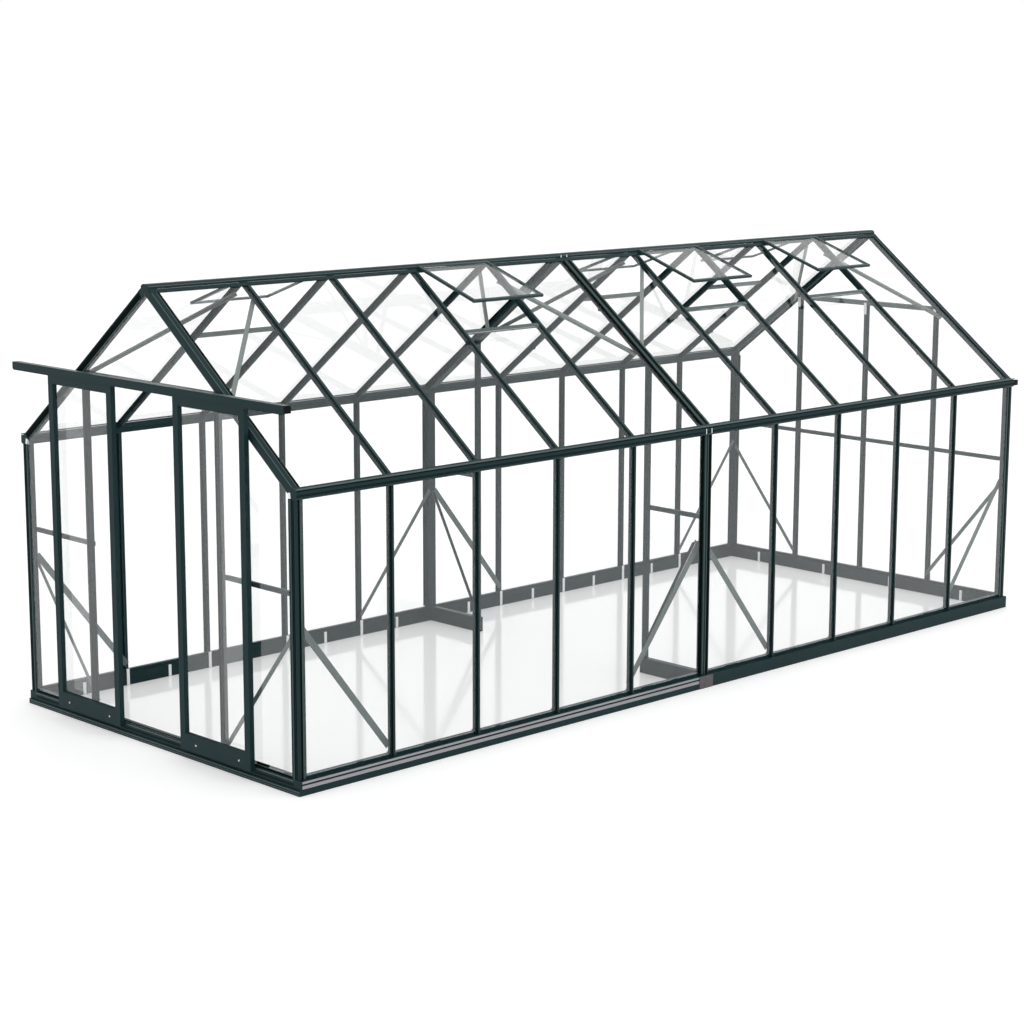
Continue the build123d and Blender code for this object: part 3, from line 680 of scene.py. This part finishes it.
class GREENHOUSE_OT_edge_beads(bpy.types.Operator):
    """Rounded beads along the edges of the beams, posts and rafters, in a pale coat that paints
    edge highlights
    """
    bl_idname = "greenhouse.edge_beads"
    bl_label = "Run the edge beads"

    def execute(self, context):
        size, trim = sizes(), trims()
        coat = finish("painted edge highlight coat")
        out = slope_axes()[1]
        bars = line_y(BAR_LINES)
        gap = trim.slope_gap

        wall = [run_profile(bead(WALL_BAR_BEAD, trim.fine_bead), *wall_runs(bars), X),
                run_profile(bead(CORNER_BEAD), *wall_runs(frame_y(-1)), -Y)]
        for row, u in WALL_BEADS:
            wall.append(run_profile(bead(u), *wall_runs(frame_y(row)), X))
        add_mesh("wall_highlight_beads", *both(*wall), coat)

        roof = [run_profile(bead(0.0), *slope_runs(frame_y(-1), *RAFTER_BEAD_ENDS,
                                                   RAFTER_BEAD_LIFT), -Y)]
        for row, u in ROOF_BEADS:
            roof.append(run_profile(bead(u), *slope_runs(frame_y(row), gap, gap), out))
        for u in ROOF_BAR_BEADS:
            roof.append(run_profile(bead(u, trim.fine_bead), *slope_runs(bars, gap, gap), out))
        add_mesh("roof_highlight_beads", *both(*roof), coat)

        eave = long_run(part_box("eave_beams")[1].x, size.eave_bottom)
        # black lines on the eave beam: painted shade
        lines = [run_profile(strip(*edges, high=trim.line_proud), *eave, X)
                 for edges in EAVE_SHADE_LINES]
        add_mesh("eave_shade_lines", *both(*lines), finish("black rubber and painted shade"), slot="black_plastic")
        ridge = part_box("ridge_beam")[1]
        # pale band on the eave beam and bead under the ridge: painted highlights
        beams = [run_profile(strip(*EAVE_HIGHLIGHT_BAND, high=trim.line_proud), *eave, X),
                 run_profile(bead(0.0), *long_run(ridge.x, ridge.z - RIDGE_BEAD_BELOW), X)]
        add_mesh("beam_highlight_beads", *both(*beams), coat)

        skirt = run_profile(strip(*RIDGE_SKIRT, *RIDGE_SKIRT_DEPTH),
                            *ridge_run(RIDGE_SKIRT_BELOW), out)
        add_mesh("ridge_skirts", *both(skirt), finish("green powder coat"))
        return {"FINISHED"}


class GREENHOUSE_OT_brace_lips(bpy.types.Operator):
    """Flanges and lips that stiffen the long edges of the braces"""
    bl_idname = "greenhouse.brace_lips"
    bl_label = "Fold the brace lips"

    def execute(self, context):
        size, trim = sizes(), trims()
        half, thick = size.brace_width / 2, size.brace_thick
        outer = size.wall_face - size.brace_plane + thick
        out = slope_axes()[1]

        right, left = [], []
        for y, line, side in brace_rows():
            edges = sorted((side * (half - trim.sunk), side * (half + trim.lip)))
            lip = run_profile(strip(*edges, -thick, 0.0), [(outer, y, size.brace_top)],
                              [(outer, line_y(line), size.brace_foot)], X)
            right.append(lip)
            if side > 0:
                left.append(mirrored(lip))
        add_mesh("wall_brace_lips", *gather(*right, *left), finish("brace coat with painted glass sheen"))

        low, high = -size.brace_plane - trim.flange, -size.brace_plane + thick
        slopes = []
        for foot in (size.roof_brace_foot, size.roof_brace_foot_left):
            flanges = []
            for y, line, side in brace_rows():
                edges = sorted((side * half, side * (half - thick)))
                flanges.append(run_profile(strip(*edges, low, high), on_slope(foot, y),
                                           on_slope(foot + size.roof_brace_rise, line_y(line)),
                                           out))
            slopes.append(gather(*flanges))
        add_mesh("roof_brace_flanges", *gather(slopes[0], mirrored(slopes[1])),
                 finish("roof brace coat with painted glass sheen"))

        face = -size.partition_face
        top = np.array([outer - size.brace_width, face, size.brace_top])
        foot = np.array([size.partition_x, face, size.brace_foot])
        start, end = (top + share * (foot - top) for share in PARTITION_LIP_RUN)
        lip = run_profile(strip(half - thick, half, high=trim.partition_lip), start, end, -Y)
        add_mesh("partition_brace_lips", *both(lip), finish("green powder coat"))
        rib = run_profile(bead(0.0), start, end, -Y)
        add_mesh("partition_brace_ribs", *both(rib), finish("bright zinc"), slot="aluminium")
        return {"FINISHED"}


class GREENHOUSE_OT_door_trim(bpy.types.Operator):
    """Glazing beads round each door's glass and the two screws in its bottom rail"""
    bl_idname = "greenhouse.door_trim"
    bl_label = "Trim the doors"

    def execute(self, context):
        trim = trims()
        for side in ("left", "right"):
            low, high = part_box(side + "_door_glass")
            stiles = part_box(side + "_door_stiles")
            front = stiles[0].y
            y = (front + (low.y + high.y) / 2) / 2
            half = y - front - trim.door_gap
            section = [(-half, trim.door_bead), (-half, -DOOR_BEAD_SUNK), (half, DOOR_BEAD_EDGE)]
            corners = [(low.x, y, low.z), (high.x, y, low.z), (high.x, y, high.z),
                       (low.x, y, high.z)]
            ring = [run_profile(section, start, end, inward) for start, end, inward
                    in zip(corners, corners[1:] + corners[:1], (Z, -X, -Z, X))]
            add_mesh(side + "_door_beads", *gather(*ring), finish("green powder coat"),
                     side + "_door")
            left_inset, right_inset = DOOR_SCREWS[side]
            height = stiles[0].z + trim.screw_rise
            heads = [(stiles[0].x + left_inset, front, height),
                     (stiles[1].x - right_inset, front, height)]
            add_mesh(side + "_door_screws", *domes(heads, -Y, trim.head, trim.head_rise),
                     finish("bright zinc"), side + "_door", "aluminium")
        return {"FINISHED"}


class GREENHOUSE_OT_track_lip(bpy.types.Operator):
    """Lip under the front of the door track, and a pale strip along its top that paints the sky's
    reflection
    """
    bl_idname = "greenhouse.track_lip"
    bl_label = "Add the track lip"

    def execute(self, context):
        trim = trims()
        low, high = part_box("door_track")
        height = low.z + TRACK_SUNK
        lip = run_profile(strip(-TRACK_LIP_THICK, 0.0, 0.0, trim.track_lip),
                          (high.x, low.y, height), (low.x, low.y, height), -Z)
        add_mesh("door_track_lip", *lip, finish("green powder coat"))
        inset_x, inset_y = TRACK_HIGHLIGHT_INSET
        middle = (low.y + high.y) / 2
        half = (high.y - low.y) / 2 - inset_y
        # pale strip on the track's top: painted reflection of the sky
        cap = run_profile(strip(-half, half, -TRACK_SUNK, trim.line_proud),
                          (low.x + inset_x, middle, high.z), (high.x - inset_x, middle, high.z), Z)
        add_mesh("door_track_top_highlight", *cap, finish("painted edge highlight coat"))
        return {"FINISHED"}


class GREENHOUSE_OT_base_trim(bpy.types.Operator):
    """Pale raised lines that paint highlights and black lines that paint shade along the front of
    the base, its rear end plates and a drain slot
    """
    bl_idname = "greenhouse.base_trim"
    bl_label = "Trim the base"

    def execute(self, context):
        trim = trims()
        block_low, block_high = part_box("base_corner_blocks")
        sill_low, sill_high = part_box("sills")
        # front face of each part, and how far its strips reach to either side
        fronts = {"block": (block_low.y, block_high.x),
                  "rail": (frame_y(-1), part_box("front_base_rail")[1].x),
                  "sill": (sill_low.y, sill_high.x - SILL_INSET)}

        def front_strips(rows):
            strips = []
            for part, low, high in rows:
                y, reach = fronts[part]
                strips.append(run_profile(strip(low, high, high=trim.highlight_line_proud), (reach, y, 0.0),
                                          (-reach, y, 0.0), -Y))
            return gather(*strips)

        add_mesh("front_base_highlight_lines", *front_strips(BASE_HIGHLIGHT_LINES), finish("painted edge highlight coat"))
        add_mesh("front_base_shade_lines", *front_strips(BASE_SHADE_LINES), finish("black rubber and painted shade"),
                 slot="black_plastic")
        plate = strip(PLATE_MARGIN, block_high.z - PLATE_MARGIN, high=-PLATE_RECESS)
        start, end = ((block_high.x, block_high.y - inset, 0.0) for inset in PLATE_ENDS)
        add_mesh("base_end_plates", *both(run_profile(plate, start, end, X)),
                 finish("joint plate"))
        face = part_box("front_gable_glass")[0].y
        start, end = ((x, face, 0.0) for x in DRAIN_SLOT_X)
        slot = run_profile(strip(*DRAIN_SLOT_Z, *DRAIN_SLOT_DEPTH), start, end, -Y)
        add_mesh("drain_slot", *slot, finish("black rubber and painted shade"), slot="black_plastic")
        return {"FINISHED"}


class GREENHOUSE_OT_fittings(bpy.types.Operator):
    """Small cleats and bolt heads on the frame"""
    bl_idname = "greenhouse.fittings"
    bl_label = "Add the fittings"

    def execute(self, context):
        size, trim = sizes(), trims()
        zinc = finish("bright zinc")
        out = slope_axes()[1]

        cleats = []
        x, z = np.add((size.wall_face, size.eave_bottom), CORNER_CLEAT_PLACE)
        run_x, run_z = CORNER_CLEAT_RUN
        for end in (-1, 1):
            y = end * (size.gable_face + CORNER_CLEAT_LIFT)
            cleats.append(run_profile(strip(-CORNER_CLEAT_HALF, CORNER_CLEAT_HALF, -CLEAT_SUNK),
                                      (x, y, z), (x + run_x, y, z + run_z), end * Y))
        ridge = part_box("ridge_beam")[1]
        for x, z, (half, places, low, high) in (
                (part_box("eave_beams")[1].x, size.eave_bottom, EAVE_CLEATS),
                (ridge.x, ridge.z, RIDGE_CLEATS)):
            for y in places:
                cleats.append(run_profile(strip(-half, half, -CLEAT_SUNK),
                                          *upright(x, y, z + low, z + high), X))
        add_mesh("eave_cleats", *both(*cleats), zinc, slot="aluminium")

        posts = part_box("rear_gable_posts")
        top = posts[1].z + REAR_CLEAT_REACH
        tops = [run_profile(strip(-REAR_CLEAT_HALF, REAR_CLEAT_HALF, -REAR_CLEAT_SUNK),
                            *upright(x, posts[0].y, low, top), -Y)
                for x, low in zip((-size.post_x, 0.0, size.post_x), REAR_CLEATS)]
        add_mesh("rear_post_cleats", *gather(*tops), zinc, slot="aluminium")

        bolts = [on_slope(distance, line_y(line), -trim.bolt_depth)
                 for line, distance in BAR_BOLTS]
        bolts += [on_slope(distance, MIDDLE_BOLT_Y, -trim.bolt_depth)
                  for distance in MIDDLE_BOLTS]
        add_mesh("roof_bolts", *both(domes(bolts, -out, trim.bolt, trim.bolt_rise)),
                 finish("black plastic"), slot="black_plastic")
        return {"FINISHED"}


class GREENHOUSE_OT_studio(bpy.types.Operator):
    """Floor, sky, lamp and camera"""
    bl_idname = "greenhouse.studio"
    bl_label = "Set up the studio"

    def execute(self, context):
        studio = context.scene.greenhouse_studio
        scene = context.scene
        scene.view_settings.view_transform = "Standard"
        reach = studio.floor_reach
        mesh = bpy.data.meshes.new("floor")
        mesh.from_pydata([(-reach, -reach, 0), (reach, -reach, 0), (reach, reach, 0),
                          (-reach, reach, 0)], [], [(0, 1, 2, 3)])
        floor = bpy.data.objects.new("floor", mesh)
        scene.collection.objects.link(floor)
        mesh.materials.append(floor_material(studio))

        world = bpy.data.worlds.new("studio")
        world.use_nodes = True
        scene.world = world
        tree = world.node_tree
        back = tree.nodes["Background"]
        tree.links.new(remap(tree, seen_rays(tree), studio.sky, 1.0), back.inputs["Strength"])
        back.inputs["Color"].default_value = (1, 1, 1, 1)

        lamp = bpy.data.lights.new("soft lamp", "AREA")
        lamp.size = studio.lamp_size
        lamp.energy = studio.lamp
        lamp.color = studio.lamp_tone
        hung = bpy.data.objects.new("soft lamp", lamp)
        hung.location = studio.lamp_place
        hung.rotation_euler = (-hung.location.normalized()).to_track_quat("-Z", "Y").to_euler()
        scene.collection.objects.link(hung)

        camera = bpy.data.cameras.new("camera")
        camera.lens = studio.lens
        camera.sensor_width = studio.sensor
        camera.clip_end = 200.0
        eye = bpy.data.objects.new("camera", camera)
        eye.matrix_world = view_matrix(studio)
        scene.collection.objects.link(eye)
        scene.camera = eye
        return {"FINISHED"}


def seen_rays(tree):
    """1 for camera, glossy and transmission rays, else 0."""
    path = tree.nodes.new("ShaderNodeLightPath")
    total = path.outputs["Is Camera Ray"]
    for ray in ("Is Glossy Ray", "Is Transmission Ray"):
        total = calculate(tree, "MAXIMUM", total, path.outputs[ray])
    return total


def floor_material(studio):
    """Pale floor, seen as white where nothing shades it; polished under the building."""
    material, tree, shader = new_material("studio floor")
    shader.inputs["Base Color"].default_value = (*studio.floor_tone, 1)
    coordinates = tree.nodes.new("ShaderNodeTexCoord")
    apart = tree.nodes.new("ShaderNodeSeparateXYZ")
    tree.links.new(coordinates.outputs["Object"], apart.inputs["Vector"])
    masks = []
    for axis, reach, inset in zip("XY", cad_box[1], (studio.inset_x, studio.inset_y)):
        distance = calculate(tree, "ABSOLUTE", apart.outputs[axis])
        masks.append(calculate(tree, "LESS_THAN", distance, reach - inset))
    inside = calculate(tree, "MULTIPLY", *masks)
    for socket, outer, inner in (("Roughness", 0.6, 0.09), ("Specular IOR Level", 0.1, 0.4)):
        tree.links.new(remap(tree, inside, outer, inner), shader.inputs[socket])
    glow = calculate(tree, "MULTIPLY", seen_rays(tree),
                     remap(tree, inside, studio.floor_glow, studio.inner_glow))
    shader.inputs["Emission Color"].default_value = (1, 1, 1, 1)
    tree.links.new(glow, shader.inputs["Emission Strength"])
    return material


def view_matrix(studio):
    """Camera axes from turn, fall and roll, as columns right, up, back and place."""
    turn, fall, roll = studio.camera_turn, studio.camera_fall, studio.camera_roll
    back = Vector((math.sin(turn) * math.cos(fall), -math.cos(turn) * math.cos(fall),
                   math.sin(fall)))
    level = Vector((math.cos(turn), math.sin(turn), 0))
    rise = back.cross(level)
    right = math.cos(roll) * level + math.sin(roll) * rise
    up = math.cos(roll) * rise - math.sin(roll) * level
    matrix = Matrix((right, up, back)).transposed().to_4x4()
    matrix.translation = studio.camera_place
    return matrix


class GREENHOUSE_PT_panel(bpy.types.Panel):
    bl_label = "Glass greenhouse"
    bl_idname = "GREENHOUSE_PT_panel"
    bl_space_type = "VIEW_3D"
    bl_region_type = "UI"
    bl_category = "Greenhouse"

    def draw(self, context):
        for step in STEPS:
            self.layout.operator(step.bl_idname)
        for attribute in GROUPS:
            box = self.layout.box()
            group = getattr(context.scene, attribute)
            for name in group.__annotations__:
                box.prop(group, name)


STEPS = (GREENHOUSE_OT_finishes, GREENHOUSE_OT_glazing_strips, GREENHOUSE_OT_edge_beads,
         GREENHOUSE_OT_brace_lips, GREENHOUSE_OT_door_trim, GREENHOUSE_OT_track_lip,
         GREENHOUSE_OT_base_trim, GREENHOUSE_OT_fittings, GREENHOUSE_OT_studio)
GROUPS = {"greenhouse_frame": GreenhouseFrame, "greenhouse_trim": GreenhouseTrim,
          "greenhouse_finish": GreenhouseFinish, "greenhouse_studio": GreenhouseStudio}


def register():
    for cls in (*GROUPS.values(), *STEPS, GREENHOUSE_PT_panel):
        bpy.utils.register_class(cls)
    for attribute, cls in GROUPS.items():
        setattr(bpy.types.Scene, attribute, PointerProperty(type=cls))


def unregister():
    for attribute in GROUPS:
        delattr(bpy.types.Scene, attribute)
    for cls in (GREENHOUSE_PT_panel, *reversed(STEPS), *GROUPS.values()):
        bpy.utils.unregister_class(cls)


def main():
    register()
    for step in STEPS:
        group, name = step.bl_idname.split(".")
        getattr(getattr(bpy.ops, group), name)()
    bpy.context.view_layer.update()


if __name__ == "__main__":
    main()
